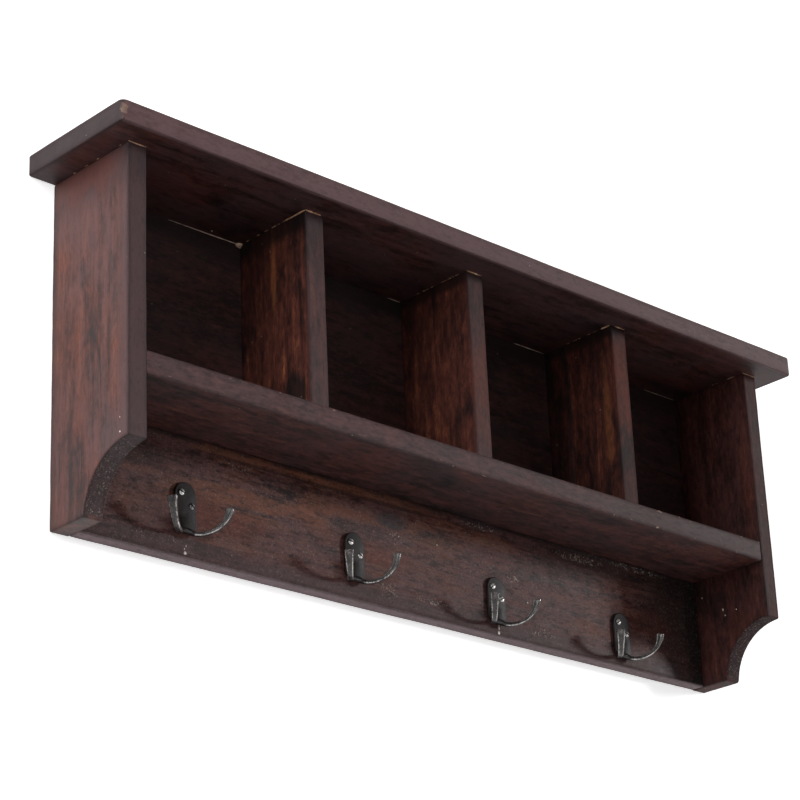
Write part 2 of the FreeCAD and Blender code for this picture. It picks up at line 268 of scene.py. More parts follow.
def roundedOutline(corners, gap, arcSteps=8):
    # a closed outline: a tangent arc at each corner (place, place, radius), even steps between
    corners = np.array(corners, float)
    spots, radii = corners[:, :2], corners[:, 2]
    toLast = unit(np.roll(spots, 1, 0) - spots)
    toNext = unit(np.roll(spots, -1, 0) - spots)
    half = np.arccos(np.clip((toLast * toNext).sum(1), -1, 1)) / 2
    cut = (radii / np.tan(half))[:, None]
    starts, ends = spots + toLast * cut, spots + toNext * cut
    runs = []
    for corner in range(len(spots)):
        if radii[corner] > 0:
            inward = unit(toLast[corner] + toNext[corner])
            middle = spots[corner] + inward * radii[corner] / np.sin(half[corner])
            begin = np.arctan2(*(starts[corner] - middle)[::-1])
            finish = np.arctan2(*(ends[corner] - middle)[::-1])
            sweep = (finish - begin + np.pi) % fullTurn - np.pi
            steps = max(arcSteps, int(radii[corner] * abs(sweep) / gap))
            turn = begin + sweep * np.linspace(0, 1, steps + 1)
            runs.append(middle + radii[corner] * np.stack([np.cos(turn), np.sin(turn)], 1))
        else:
            runs.append(spots[corner:corner + 1])
        last, ahead = ends[corner], starts[(corner + 1) % len(spots)]
        pieces = max(1, int(np.ceil(np.linalg.norm(ahead - last) / gap)))
        share = np.linspace(0, 1, pieces + 1)[1:-1, None]
        runs.append(last + (ahead - last) * share)
    return np.concatenate(runs)


# rings of one eased edge, from the face to the side: shares of the ease and of the band beside it
easeTurn = np.linspace(0, np.pi / 2, 6)
bandNear, bandDirt = 0.35, 0.45
ringTable = {
    "easeIn": np.concatenate([[1, 1], 1 - np.sin(easeTurn), [0, 0]])[:, None],
    "bandIn": np.concatenate([[1, bandNear], 0 * easeTurn, [0, 0]])[:, None],
    "easeDown": np.concatenate([[0, 0], 1 - np.cos(easeTurn), [1, 1]])[:, None],
    "bandDown": np.concatenate([[0, 0], 0 * easeTurn, [bandNear, 1]])[:, None],
    "edge": np.concatenate([[0, bandDirt], 1 + 0 * easeTurn, [bandDirt, 0]])[:, None],
}


def boardSurface(outline, thickness, ease, band, crown=0, faceShares=(0, 0.4, 0.8)):
    # an outline carried through the thickness: every ring is the outline drawn in towards its middle,
    # by the quarter round of the eased edge and then by shares of the face until it closes on a point;
    # crown lifts the far face by 1 - share squared
    middle, half = middleAndHalf(outline)
    ease = np.broadcast_to(ease, len(outline))
    drawIn = ringTable["easeIn"] * ease + ringTable["bandIn"] * band
    down = ringTable["easeDown"] * ease + ringTable["bandDown"] * band
    edge = np.broadcast_to(ringTable["edge"], drawIn.shape)
    shares = np.array(faceShares)[:, None, None]
    edgeScale = 1 - drawIn[:, :, None] / half
    faceScale = shares * edgeScale[:1]
    scale = np.concatenate([faceScale, edgeScale, edgeScale[::-1], faceScale[::-1]])
    flat = np.zeros((len(faceShares), len(outline)))
    lift = crown * (1 - shares[:, :, 0] ** 2) + flat
    across = np.concatenate([flat, down, thickness - down[::-1], thickness + lift[::-1]])
    edges = np.concatenate([flat, edge, edge[::-1], flat])
    points = np.concatenate([middle + (outline - middle) * scale, across[..., None]], -1)
    return points, edges


def intoPlace(points, acrossAxis, start):
    # outline axes go to the two other axes in their order, thickness to its own from start
    axes = [axis for axis in range(3) if axis != acrossAxis]
    placed = np.empty_like(points)
    placed[..., axes[0]] = points[..., 0]
    placed[..., axes[1]] = points[..., 1]
    placed[..., acrossAxis] = points[..., 2] + start
    return placed


# Stained wood

stain = {
    "stops": [
        (0.00, (0.0040, 0.0022, 0.0021)), (0.30, (0.0170, 0.0055, 0.0045)), (0.50, (0.0520, 0.0140, 0.0098)),
        (0.68, (0.1000, 0.0270, 0.0170)), (0.84, (0.1800, 0.0560, 0.0260)), (1.00, (0.3000, 0.1100, 0.0480))],
    "haze": (0.060, 0.030, 0.033),      # waxed, handled film on the outer edges
    "mauve": (0.090, 0.043, 0.044),     # thin film over the rail
    "blush": (0.106, 0.051, 0.050),     # and over the left panel
    "bloom": (0.136, 0.075, 0.079),     # the same film painted paler: a painted sheen on the front edges of the top and shelf
    "dusk": (0.028, 0.015, 0.017),      # the film where it has darkened
    "soot": (0.0060, 0.0034, 0.0034),   # stain, dirt and grime on edges and joints; also painted shade under the top board, under the shelf and beside the wall, and the right panel's painted shadow on the rail
    "slate": (0.040, 0.031, 0.035),     # a bluish smudge on the rail
    "sawn": (0.046, 0.024, 0.027),      # sawn faces
    "ashen": (0.205, 0.136, 0.147),     # the rail's foot painted pale: a painted sheen from the white wall below
    "red": (0.130, 0.026, 0.013),       # patches of redder stain
    "amber": (0.300, 0.100, 0.034),     # thin stain beside a joint
    "rust": (0.190, 0.062, 0.030),      # streaks along the rail
    "raw": (0.42, 0.27, 0.19),          # bare wood where an edge is rubbed through
    "dust": (0.62, 0.54, 0.46),         # pale dust and grit
}

# layers of grain: turns per metre along and across it, detail, twist, steps of shift, roughness
grainLayers = {
    "figure": (1.8, 26, 2, 0.9, 0, 0.55),
    "streak": (9, 150, 5, 0.5, 1, 0.66),
    "fibre": (60, 1500, 2, 0, 2, 0.55),
    "pooled": (9, 24, 6, 0.9, 3, 0.62),
    "clear": (4, 85, 4, 0.5, 4, 0.6),
    "cloud": (12, 12, 4, 0.6, 5, 0.55),
    "pore": (110, 2600, 1, 0, 6, 0.55),
    "chip": (110, 260, 4, 0.5, 7, 0.65),
    "mottle": (26, 70, 6, 0.7, 8, 0.68),
    "fleck": (90, 240, 4, 0.3, 9, 0.7),
    "grime": (130, 330, 5, 0.3, 10, 0.72),
}

# on every board: the range over which a layer takes hold, and how much of it shows
woodMix = {
    "seedStep": 3.17, "shiftStep": 5.3, "gritScale": 520, "speckScale": 240.0,
    "poreRange": (0.6, 0.7), "poolRange": (0.5, 0.68), "clearRange": (0.56, 0.72), "filmRange": (0.25, 0.7),
    "patchRange": (1.1, 0.5), "crustRange": (0.92, 1.1), "grimeRange": (0.5, 0.74), "chipRange": 0.06,
    "speckRange": (0.13, 0.06), "gritRange": (0.53, 0.66),
    "sawn": 0.9, "crust": 0.7, "salt": 0.36, "rubbed": 0.85, "speck": 0.8, "sawnSpecks": 0.1, "grit": 0.8,
    "bumpDepth": 0.4 * mm, "bumpStrength": 0.55,
}


def stainedWood(name, look):
    # noise stretched along the grain: broad figure, brush streaks, mottling, flecks and fibres add up to
    # the depth of stain, pools darken it and clear streaks lighten it; a film clouds it, and patches of
    # other colours lie where the look puts them; sawn faces are dark and gritty, edges hold dirt and rub
    # through, and grime, specks and dust sit on top
    paint = Finish(name)
    mix = woodMix
    seed = look["seed"] * mix["seedStep"]

    def grain(layer):
        # one layer of noise, at the look's own scale where it gives one
        along, across, detail, twist, step, rough = grainLayers[layer]
        along, across = look.get(layer + "Scale", (along, across))
        scale = [across] * 3
        scale[look["grain"]] = along
        return paint.noise(scale, detail, twist, seed + step * mix["shiftStep"], rough)

    figure = grain("figure")
    streak = grain("streak")
    fibre = grain("fibre")
    pooled = grain("pooled")
    mottle = grain("mottle")
    fleck = grain("fleck")
    fine = fleck.swing() * look["fine"]
    pore = grain("pore").ease(*mix["poreRange"])
    depth = 0.5 + look["tone"] + figure.swing() * look["figure"] + streak.swing() * look["streak"]
    depth = depth + mottle.swing() * look["mottle"] + fine + fibre.swing() * 0.18 - pore * 0.07
    depth = depth - pooled.ease(*mix["poolRange"]) * look["pool"]
    depth = depth + grain("clear").ease(*mix["clearRange"]) * look["clear"]
    colour = paint.node("ShaderNodeValToRGB", {"stops": stain["stops"]}, {0: depth})
    laidOn = grain("cloud") + mottle.swing() * 0.6 + streak.swing() * 0.8 + fine
    colour = paint.blend(laidOn.ease(*mix["filmRange"]) * look["haze"], colour, stain[look["film"]])

    ragged = pooled.swing() * 1.6 + streak.swing() + mottle.swing()
    uneven = 1 + mottle.swing() * 1.5 + fleck.swing() * 1.7 + pooled.swing() * 0.8

    def inPatch(patch):
        # 1 inside an ellipsoid about a place, with an edge as ragged as the pooled stain
        near = paint.node("ShaderNodeMapping", {"vector_type": "TEXTURE"}, {
            "Vector": paint.place(), "Location": patch["at"], "Scale": patch["size"]})
        reach = paint.node("ShaderNodeVectorMath", {"operation": "LENGTH"}, {0: near}, out="Value")
        return (reach + ragged * patch["ragged"]).ease(*mix["patchRange"]) * uneven * patch["amount"]

    for patch in look["patches"]:
        colour = paint.blend(inPatch(patch), colour, stain[patch["colour"]])
    edge = paint.mark("edge")
    cut = paint.mark("cut")
    for patch in look["sawn"]:
        cut = cut.atLeast(inPatch(patch))
    salted = cut * mix["salt"]
    for patch in look["salt"]:
        salted = salted.atLeast(inPatch(patch))
    grit = paint.noise(mix["gritScale"], detail=5, twist=0.3, shift=seed, rough=0.75)
    colour = paint.blend(cut * mix["sawn"], colour, stain["sawn"])
    crust = cut * (grit + fleck).ease(*mix["crustRange"]) * mix["crust"]
    colour = paint.blend((edge * look["dirt"]).atLeast(crust), colour, stain["soot"])
    colour = paint.blend(grain("grime").ease(*mix["grimeRange"]) * look["grime"], colour, stain["soot"])
    rubbed = edge * grain("chip").ease(look["wearFrom"], look["wearFrom"] + mix["chipRange"])
    colour = paint.blend(rubbed * mix["rubbed"], colour, stain["raw"])
    cells = paint.node("ShaderNodeTexVoronoi", None, {"Vector": paint.place(), "Scale": mix["speckScale"]})
    pick = paint.node("ShaderNodeSeparateColor", None, {0: cells.beside("Color")})
    speck = cells.ease(*mix["speckRange"]) * (pick + cut * mix["sawnSpecks"]).over(1 - look["specks"])
    colour = paint.blend(speck * mix["speck"], colour, stain["dust"])
    colour = paint.blend(grit.ease(*mix["gritRange"]) * salted * mix["grit"], colour, stain["dust"])
    rough = look["gloss"] + streak.swing() * 0.2 + mottle.swing() * 0.25
    rough = rough + cut * 0.15 + edge * 0.12 + pore * 0.08
    height = fibre * 0.45 + streak * 0.6 + mottle * 0.5 - pore * 0.35 + figure * 0.3 + salted * grit * 2.2
    skin = {"Base Color": colour, "Roughness": rough, "Specular IOR Level": look["sheen"]}
    return paint.surface(skin, height, mix["bumpDepth"], mix["bumpStrength"])


# Boards

# what a board has unless its own dictionary says otherwise: its shape, then its finish
boardDefaults = {
    "ease": 1.5 * mm, "easeShares": (0.65, 0.7), "corner": 1.2 * mm, "band": 3.2 * mm, "wobble": 0.35 * mm,
    "waves": (24, 48), "gap": 7 * mm, "backOff": 0,
    "tone": 0, "figure": 0.4, "streak": 0.6, "mottle": 0.6, "fine": 0.45, "pool": 0.25, "clear": 0.1,
    "haze": 0.25, "film": "haze", "grime": 0.5, "dirt": 0.3, "wearFrom": 0.74, "specks": 0.006,
    "gloss": 0.54, "sheen": 0.34, "patches": (), "sawn": (), "salt": (),
}
halfEdgeRings = 8  # rings from the middle of a face to halfway round its eased edge


def wornBoard(name, node, look, outline, across, low, high, free=1, sawn=0):
    # an outline carried through a board's thickness: it is drawn in by a ripple where it is free to
    # waver, its edges are eased by another, and its sides are marked as cut where they are sawn
    shares = lengthShares(outline)
    wobbleWaves, easeWaves = look["waves"]
    least, rise = look["easeShares"]
    ease = look["ease"] * (least + rise * ripple(shares, look["seed"] + 1, easeWaves))
    drawn = look["wobble"] * ripple(shares, look["seed"], wobbleWaves)[:, None] * free
    middle, half = middleAndHalf(outline)
    outline = middle + (outline - middle) * (1 - drawn / half)
    points, edges = boardSurface(outline, high[across] - low[across], ease, look["band"])
    side = np.zeros((len(points), 1))
    side[halfEdgeRings:-halfEdgeRings] = 1
    placed = intoPlace(points, across, low[across])
    wood = stainedWood(name + "Wood", look)
    return makePiece(name, [(placed, {"edge": edges, "cut": side * sawn})], wood, [node])


def buildBoard(name, node, look):
    # a board is its rounded rectangle carried through its thinnest direction
    look = {**boardDefaults, **look}
    low, high = (np.array(corner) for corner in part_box(node))
    high = high - np.array([0, look["backOff"], 0])
    across = int(np.argmin(high - low))
    axes = [axis for axis in range(3) if axis != across]
    (left, bottom), (right, top) = low[axes], high[axes]
    near, far = look["corner"], look.get("farCorner", look["corner"])
    corners = [(left, bottom, near), (right, bottom, near), (right, top, far), (left, top, far)]
    return wornBoard(name, node, look, roundedOutline(corners, look["gap"]), across, low, high)


# Patches on the boards, in millimetres

wholeBoard = 9000  # a patch of this size runs the whole board
filmRagged = 0.4
boardFront, dividerFront, topFront, underTop = -108, -105, -136, 50
railFoot, railTop, railFace, railEnd, railSkin = -276, -162, -17, 402, 9


def spotAt(amount, at, size, ragged=1):
    # an ellipsoid of half sizes about a place
    return {
        "amount": amount, "at": [place * mm for place in at], "size": [half * mm for half in size],
        "ragged": ragged}


def patchAt(colour, amount, at, size, ragged=1):
    # the same in one of the stain's colours
    return {"colour": colour, **spotAt(amount, at, size, ragged)}


def filmAt(axis, level, depth, amount, colour="haze"):
    # a band of one colour beside a face or an edge, from one level of one axis
    at, size = [0, 0, 0], [wholeBoard] * 3
    at[axis], size[axis] = level, depth
    return patchAt(colour, amount, at, size, filmRagged)


def onRail(x, z, halfLength, halfHeight):
    # place and half sizes of a spot on the rail's front face
    return (x, railFace, z), (halfLength, railSkin, halfHeight)


topBoard = {
    "grain": axisX, "seed": 11, "ease": 1.2 * mm, "corner": 5.5 * mm, "farCorner": 2.5 * mm, "band": 5 * mm,
    "streak": 0.9, "mottle": 1.0, "fine": 0.7, "pool": 0.22, "haze": 0.8, "grime": 0.3, "dirt": 0.1,
    "wearFrom": 0.68, "specks": 0.02, "sheen": 0.3,
    "patches": [
        # painted sheen along the top's front edge
        filmAt(axisY, topFront, 5, 0.95, "bloom"),
        filmAt(axisX, -450, 4, 0.95, "dusk"),
        filmAt(axisX, 450, 4, 0.5, "dusk"),
        patchAt("raw", 0.4, (-449, topFront, 62), (3, 3, 7), 4),
        patchAt("red", 0.2, (-340, -70, underTop), (60, 25, 9)),
        patchAt("red", 0.25, (-438, -70, underTop), (14, 50, 9)),
    ],
}
buildBoard("topBoard", "top_board", topBoard)

shelfBoard = {
    "grain": axisX, "seed": 12, "tone": 0.01, "streak": 0.9, "streakScale": (6, 150), "mottle": 1.0,
    "fine": 1.3, "haze": 0.55, "wearFrom": 0.64, "specks": 0.014, "gloss": 0.6, "sheen": 0.28,
    "patches": [
        # painted sheen along the shelf's front edge
        filmAt(axisY, boardFront, 4, 0.33, "bloom"),
        patchAt("dusk", 0.4, (300, boardFront, -150), (160, 6, 20)),
    ],
}
buildBoard("shelfBoard", "shelf_board", shelfBoard)

dividerLook = {
    "grain": axisZ, "ease": 0.9 * mm, "figure": 0.25, "streak": 0.5, "mottle": 0.8, "fine": 0.8, "clear": 0.2,
    "haze": 0,
}
# painted shade: a dark band on the dividers just under the top board
underTopShade = filmAt(axisZ, underTop, 14, 0.7, "soot")

leftDivider = {
    **dividerLook, "seed": 13, "tone": 0.07, "figure": 0.3, "streak": 0.6, "pool": 0.3, "clear": 0.3,
    "patches": [
        # painted shade under the top board and low on the face beside the shelf
        filmAt(axisZ, underTop, 22, 0.8, "soot"),
        filmAt(axisY, dividerFront, 3, 0.48),
        patchAt("soot", 0.9, (-217, -82, -128), (9, 20, 28)),
        patchAt("amber", 0.5, (-217, -58, 0), (9, 5, 45)),
    ],
}
buildBoard("leftDivider", "left_divider", leftDivider)

middleDivider = {
    **dividerLook, "seed": 14, "tone": 0.05, "gloss": 0.6, "sheen": 0.26,
    "patches": [
        underTopShade,
        filmAt(axisY, dividerFront, 3, 0.34),
        patchAt("red", 0.4, (0, dividerFront, -75), (wholeBoard, 4, 55)),
    ],
}
buildBoard("middleDivider", "middle_divider", middleDivider)

rightDividerFront = {
    **dividerLook, "seed": 15, "ease": 0.8 * mm, "tone": -0.03, "gloss": 0.64, "sheen": 0.18,
    "patches": [
        underTopShade,
        filmAt(axisY, dividerFront, 3, 0.16),
        patchAt("red", 0.45, (206, dividerFront, -20), (wholeBoard, 4, 60)),
        patchAt("amber", 0.3, (196, -92, -60), (9, 6, 60), 2),
    ],
}
buildBoard("rightDividerFront", "right_divider_front_board", rightDividerFront)

rightDividerRear = {
    **dividerLook, "seed": 16, "ease": 0.6 * mm, "tone": -0.02, "figure": 0.5, "streak": 0.7, "mottle": 0.6,
    "fine": 0.7, "pool": 0.4, "clear": 0.1,
    "patches": [underTopShade],
}
buildBoard("rightDividerRear", "right_divider_rear_board", rightDividerRear)

backLook = {
    "grain": axisX, "backOff": 0.3 * mm, "ease": 0.25 * mm, "wobble": 0.05 * mm, "corner": 0.4 * mm,
    "tone": -0.12, "streak": 0.45, "mottle": 0.5, "fine": 0.8, "pool": 0.15, "clear": 0.02, "haze": 0.4,
    "dirt": 0, "specks": 0.01, "gloss": 0.62,
}
lowerBack = {**backLook, "seed": 17}
buildBoard("lowerBack", "lower_back_board", lowerBack)

# painted shade on the back board just under the top board
upperBack = {**backLook, "seed": 18, "patches": [filmAt(axisZ, underTop, 26, 0.6, "soot")]}
buildBoard("upperBack", "upper_back_board", upperBack)

hookRail = {
    "grain": axisX, "seed": 19, "backOff": 0.3 * mm, "tone": 0.14, "figure": 0.3, "streak": 1.0,
    "streakScale": (7, 230), "mottle": 1.2, "mottleScale": (12, 80), "fine": 1.7, "pool": 0.26, "clear": 0.2,
    "haze": 0.8, "film": "mauve", "grime": 0.85, "specks": 0.016, "gloss": 0.6, "sheen": 0.26,
    "patches": [
        # painted shade: a dark band along the rail's top, under the shelf
        filmAt(axisZ, railTop, 6, 0.6, "soot"),
        filmAt(axisZ, railFoot, 20, 0.7),
        patchAt("rust", 0.5, *onRail(-175, -168, 150, 6), 3.5),
        # painted shadow of the right panel on the rail's right end, and of the shelf on its top right
        filmAt(axisX, railEnd, 26, 0.95, "soot"),
        filmAt(axisX, railEnd, 80, 0.45, "soot"),
        patchAt("soot", 0.5, *onRail(300, -170, 170, 18)),
        patchAt("soot", 0.6, *onRail(-130, -173, 190, 2), 2),
        patchAt("soot", 0.5, *onRail(-350, -190, 50, 14)),
        patchAt("red", 0.6, *onRail(-255, -232, 60, 16)),
        patchAt("red", 0.5, *onRail(-60, -225, 50, 14)),
        patchAt("red", 0.5, *onRail(320, -222, 35, 16)),
        patchAt("rust", 0.6, *onRail(-205, -208, 90, 14), 2.5),
        patchAt("rust", 0.5, *onRail(-60, -195, 90, 10), 2.5),
        patchAt("slate", 0.85, *onRail(-42, -190, 24, 10), 0.8),
        # painted shadow of the right panel on the rail
        patchAt("soot", 0.55, *onRail(360, -205, 75, 55)),
        # the rail's underside painted pale: painted sheen from the wall below
        filmAt(axisZ, railFoot, 1.3, 0.95, "ashen"),
    ],
    "sawn": [
        spotAt(0.9, *onRail(82, -166, 38, 5)),
        spotAt(0.8, *onRail(270, railTop, 130, 7)),
        spotAt(0.6, *onRail(-360, -168, 50, 8)),
    ],
    "salt": [
        spotAt(0.16, *onRail(0, -225, wholeBoard, 90)),
        spotAt(0.7, *onRail(-360, -170, 50, 6)),
        spotAt(0.5, *onRail(-225, -178, 24, 5)),
        spotAt(1.6, *onRail(220, -172, 42, 5), 0.6),
        spotAt(1.6, *onRail(310, -166, 45, 5), 0.6),
        spotAt(0.8, *onRail(121, -213, 12, 6)),
        spotAt(0.8, *onRail(159, -261, 20, 6)),
        spotAt(0.8, *onRail(10, -258, 24, 5)),
        spotAt(0.8, *onRail(-37, -204, 11, 9)),
        spotAt(0.8, *onRail(-48, -258, 14, 8)),
        spotAt(0.9, *onRail(82, -168, 36, 4)),
        spotAt(0.35, *onRail(-330, -262, 40, 4)),
    ],
}
buildBoard("hookRail", "hook_rail", hookRail)


# Side panels

panelShape = {
    "noseHeight": 54.5 * mm, "lipDepth": 47 * mm, "scoopRadius": 60 * mm, "noseSlope": 5, "lipSlope": 80,
    "noseRound": 1.8 * mm, "lipRound": 2 * mm, "corner": 1.2 * mm, "gap": 5 * mm, "waves": (20, 50),
    "wallHold": 10 * mm,    # the outline wavers less within this distance of the wall
    # the scoop counts as sawn up to a little over the nose, down to a little over the lip, this far out
    "sawnTop": 0.5 * mm, "sawnFoot": 2 * mm, "sawnOut": 40 * mm,
    "seatClearance": 0.2 * mm, "seatProud": 5 * mm,
    "pocketRadius": 6 * mm, "pocketRise": 12 * mm, "pocketDepth": 11 * mm,
}


def stadiumSurface(x, bottom, top, radius, front, back):
    # two half circles joined by straight sides, carried from back to front and closed on its middle
    turn = aroundRing(48)
    rise = np.where(np.sin(turn) >= 0, top, bottom)
    ring = np.stack([x + radius * np.cos(turn), 0 * turn, rise + radius * np.sin(turn)], 1)
    middle = np.array([x, 0, (top + bottom) / 2])
    scale = np.array([0, 1, 1, 0])[:, None, None]
    points = middle + (ring - middle) * scale
    points[..., 1] = np.array([back, back, front, front])[:, None]
    return points


def cutSeat(panel, plateNode):
    # the hanger plate's seat, and the deeper pocket behind its slot, are taken out of the back edge
    shape = panelShape
    low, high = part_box(plateNode)
    x, radius, proud = (low.x + high.x) / 2, (high.x - low.x) / 2, shape["seatProud"]
    seat = stadiumSurface(x, low.z + radius, high.z - radius, radius + shape["seatClearance"], low.y, proud)
    pocket = stadiumSurface(x, 0, shape["pocketRise"], shape["pocketRadius"], -shape["pocketDepth"], proud)
    wood = panel.data.materials[0]
    for surface in (seat, pocket):
        cutter = makePiece("cutter", [(surface, {"edge": 0, "cut": 0})], wood)
        tool = panel.modifiers.new("seat", "BOOLEAN")
        tool.operation = "DIFFERENCE"
        tool.solver = "EXACT"
        tool.object = cutter
        settle(panel)
        bpy.data.objects.remove(cutter)


def buildPanel(name, node, plateNode, look):
    # the panel's outline is a rectangle with its lower front scooped out by a tangent arc
    shape = panelShape
    look = {**boardDefaults, "waves": shape["waves"], **look}
    low, high = (np.array(corner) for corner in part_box(node))
    front, foot, top = low[1], low[2], high[2]
    nose = np.array([front, foot + shape["noseHeight"]])
    lip = np.array([-shape["lipDepth"], foot])
    noseTurn, lipTurn = math.radians(shape["noseSlope"]), math.radians(shape["lipSlope"])
    noseWay = np.array([math.cos(noseTurn), -math.sin(noseTurn)])
    lipWay = np.array([-math.cos(lipTurn), math.sin(lipTurn)])
    run = np.linalg.solve(np.stack([noseWay, -lipWay], 1), lip - nose)[0]
    scoop = nose + noseWay * run
    radius = shape["corner"]
    corners = [
        (*lip, shape["lipRound"]), (0, foot, radius), (0, top, radius), (front, top, radius),
        (*nose, shape["noseRound"]), (*scoop, shape["scoopRadius"])]
    outline = roundedOutline(corners, shape["gap"])
    deep, tall = outline.T
    onScoop = (tall < nose[1] + shape["sawnTop"]) & (tall > lip[1] + shape["sawnFoot"])
    onScoop = onScoop & (deep < -shape["sawnOut"])
    free = np.clip(-outline[:, :1] / shape["wallHold"], 0, 1)
    panel = wornBoard(name, node, look, outline, axisX, low, high, free, onScoop)
    cutSeat(panel, plateNode)


leftPanel = {
    "grain": axisZ, "seed": 21, "tone": 0.13, "mottle": 1.1, "mottleScale": (15, 60), "pool": 0.35,
    "haze": 0.75, "film": "blush", "specks": 0.012,
    "patches": [
        filmAt(axisY, boardFront, 14, 0.5),
        # painted shade along the panel's rear edge, where it meets the wall
        filmAt(axisY, 0, 10, 0.4, "soot"),
        filmAt(axisY, boardFront, 3, 0.8),
        filmAt(axisZ, underTop, 45, 0.55, "dusk"),
        patchAt("red", 0.3, (-422, -45, 42), (9, 50, 24), 2),
    ],
}
buildPanel("leftPanel", "left_side_panel", "left_keyhole_plate", leftPanel)

rightPanel = {
    "grain": axisZ, "seed": 22, "tone": -0.02, "figure": 0.25, "fine": 0.8, "pool": 0.2, "haze": 0.3,
    "specks": 0.016, "gloss": 0.64, "sheen": 0.2,
    "patches": [filmAt(axisY, boardFront, 4, 0.18)],
}
buildPanel("rightPanel", "right_side_panel", "right_keyhole_plate", rightPanel)


# Double hooks

hookShape = {
    "width": 24 * mm, "height": 45 * mm, "thickness": 2.9 * mm, "crown": 0.6 * mm, "footRadius": 6 * mm,
    "edge": 1 * mm, "band": 0.6 * mm, "gap": 1.5 * mm, "arcSteps": 14,
    "faceShares": (0, 0.2, 0.4, 0.6, 0.8, 0.92),
    "spread": 7 * mm, "bend": 26 * mm, "dip": 2.6 * mm, "rootHeight": -1.2 * mm, "rootDepth": 1.2 * mm,
    "stations": (0, 0.4, 0.7, 1), "widths": (3.1 * mm, 3.2 * mm, 3.9 * mm, 5.2 * mm),
    "depths": (2.1 * mm, 1.8 * mm, 2.7 * mm, 4.8 * mm), "rings": 90, "around": 40, "blur": 6,
    "tipRound": 0.9 * mm, "tipFlat": 0.72, "groove": 0.34, "fullness": 1.08,
    "knuckle": (8 * mm, 3.0 * mm, 2.4 * mm), "voxel": 0.3 * mm, "smoothing": 2,
    "ridgeWidth": (0.4 * mm, 1.0 * mm), "ridgeRings": (8, -2),
    # each hook is bent a little differently: splay and tip angle of its left and its right prong
    "bends": (((50, 81), (46, 82)), ((44, 73), (46, 91)), ((42, 76), (46, 85)), ((44, 75), (46, 87))),
}


def blurred(values, reach):
    # each value becomes the mean of its neighbours on both sides
    count = 2 * reach + 1
    return np.convolve(np.pad(values, reach, "edge"), np.ones(count) / count, "valid")


def prongSurface(root, side, bend, shape):
    # a bar carried round an arc in an upright plane: flat at the foot, flared at the tip, where a
    # fourfold cosine hollows its four sides and leaves four ridges
    splay, tipAngle = (math.radians(angle) for angle in bend)
    outWay = np.array([side * math.sin(splay), -math.cos(splay), 0])
    upWay = np.array([0, 0, 1.0])
    sideWay = np.cross(outWay, upWay)
    centreHeight = shape["bend"] - shape["dip"]
    startTurn = -math.acos((centreHeight - shape["rootHeight"]) / shape["bend"])
    centreOut = -shape["bend"] * math.sin(startTurn) - shape["rootDepth"]
    share = np.linspace(0, 1, shape["rings"])
    turn = startTurn + (tipAngle - startTurn) * share
    spine = np.multiply.outer(centreOut + shape["bend"] * np.sin(turn), outWay)
    spine = spine + np.multiply.outer(centreHeight - shape["bend"] * np.cos(turn), upWay)
    spine = spine + root + np.array([side * shape["spread"], 0, 0])
    outward = np.multiply.outer(np.sin(turn), outWay) - np.multiply.outer(np.cos(turn), upWay)
    wide = blurred(np.interp(share, shape["stations"], shape["widths"]), shape["blur"])
    deep = blurred(np.interp(share, shape["stations"], shape["depths"]), shape["blur"])
    left = (1 - share) * shape["bend"] * (tipAngle - startTurn)
    cap = np.sqrt(np.clip(1 - (1 - np.clip(left / shape["tipRound"], 0, 1)) ** 2, 0, 1))
    cap = shape["tipFlat"] + (1 - shape["tipFlat"]) * cap
    cap[-1] = 0
    around = aroundRing(shape["around"])
    dent = shape["groove"] * np.multiply.outer(share ** 0.7, 0.5 + 0.5 * np.cos(4 * around))
    reach = (shape["fullness"] - dent) * cap[:, None]
    points = spine[:, None] + (reach * np.cos(around) * wide[:, None])[..., None] * sideWay
    points = points + (reach * np.sin(around) * deep[:, None])[..., None] * outward[:, None]
    start = np.broadcast_to(spine[:1, None], (1, len(around), 3))
    first, last = shape["ridgeRings"]
    quarter = shape["around"] // 4
    ridges = points[first:last, quarter // 2::quarter].reshape(-1, 3)
    return np.concatenate([start, points]), ridges


def knuckleSurface(root, shape):
    # an ellipsoid from latitude and longitude, where the two prongs leave the plate
    wide, deep, tall = shape["knuckle"]
    up = np.linspace(-np.pi / 2, np.pi / 2, 17)[:, None]
    turn = aroundRing(32)
    points = np.stack([
        wide * np.cos(up) * np.cos(turn), deep * np.cos(up) * np.sin(turn), tall * np.sin(up) + 0 * turn], -1)
    return points + root + np.array([0, -shape["rootDepth"] / 2, shape["rootHeight"] + tall / 4])


ironTones = {
    "painted": ((0.011, 0.007, 0.007), (0.022, 0.015, 0.015)),
    "handled": ((0.048, 0.044, 0.044), (0.088, 0.081, 0.080)),
    # ridge: pale lines that are worn paint and a painted highlight; bare: metal worn bright at the tips
    "ridge": (0.46, 0.43, 0.42), "bare": (0.30, 0.28, 0.27),
    "toneRange": (0.35, 0.7), "wearAndHighlightRange": (0.62, 1.05), "scuffRange": (0.66, 0.78),
    "tipRange": (7 * mm, 2 * mm), "tipRagged": 8 * mm, "prongRange": (0.5 * mm, 4 * mm),
    "sheen": 0.22, "bumpDepth": 0.4 * mm, "bumpStrength": 0.4,
}


